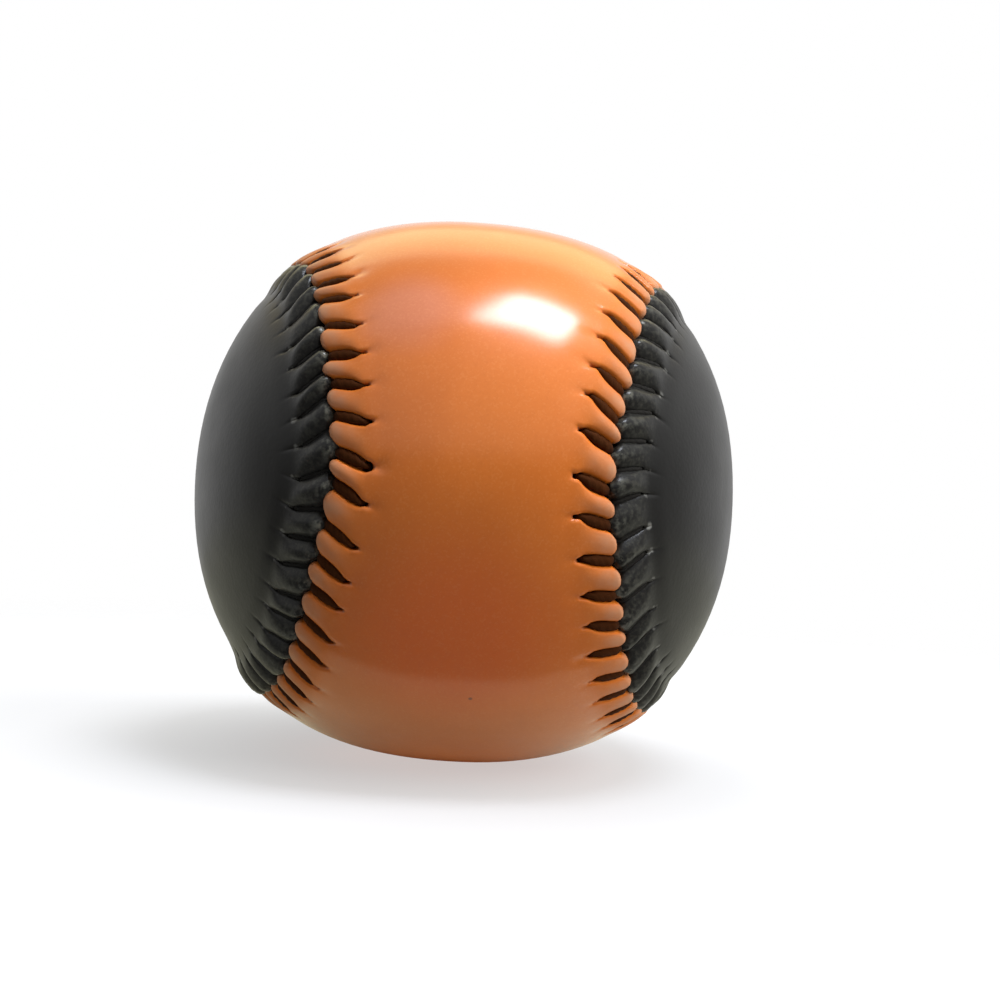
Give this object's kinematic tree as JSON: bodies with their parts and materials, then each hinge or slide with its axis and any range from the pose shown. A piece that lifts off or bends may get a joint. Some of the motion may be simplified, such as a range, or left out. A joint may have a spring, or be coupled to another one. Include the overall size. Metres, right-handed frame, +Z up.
{
  "type": "soft baseball",
  "caption": "Soft practice baseball with an orange and a black figure-of-eight cover panel, laced with black thread over a padded sponge core.",
  "frame": {"origin": "centre of the ball", "axes": "+Z up, with the orange lobes above and below; -Y towards the viewer, through the middle of the orange waist; +X to the viewer's right, through the middle of a black lobe"},
  "size_m": [0.0712, 0.0728, 0.0712],
  "materials": {
    "sponge_rubber": "open-cell sponge rubber, matt",
    "orange_lining_foam": "thin cut foam sheet, matt",
    "black_lining_foam": "thin cut foam sheet, matt",
    "orange_leather": "glossy pearl synthetic leather with fine flecks",
    "black_leather": "satin synthetic leather",
    "waxed_thread": "waxed twisted thread, slight shine"
  },
  "bodies": {
    "root": {"sponge_core": "sponge_rubber", "orange_foam_lining": "orange_lining_foam", "black_foam_lining": "black_lining_foam", "orange_cover_panel": "orange_leather", "black_cover_panel": "black_leather", "stitching_thread": "waxed_thread"}
  },
  "joints": []
}
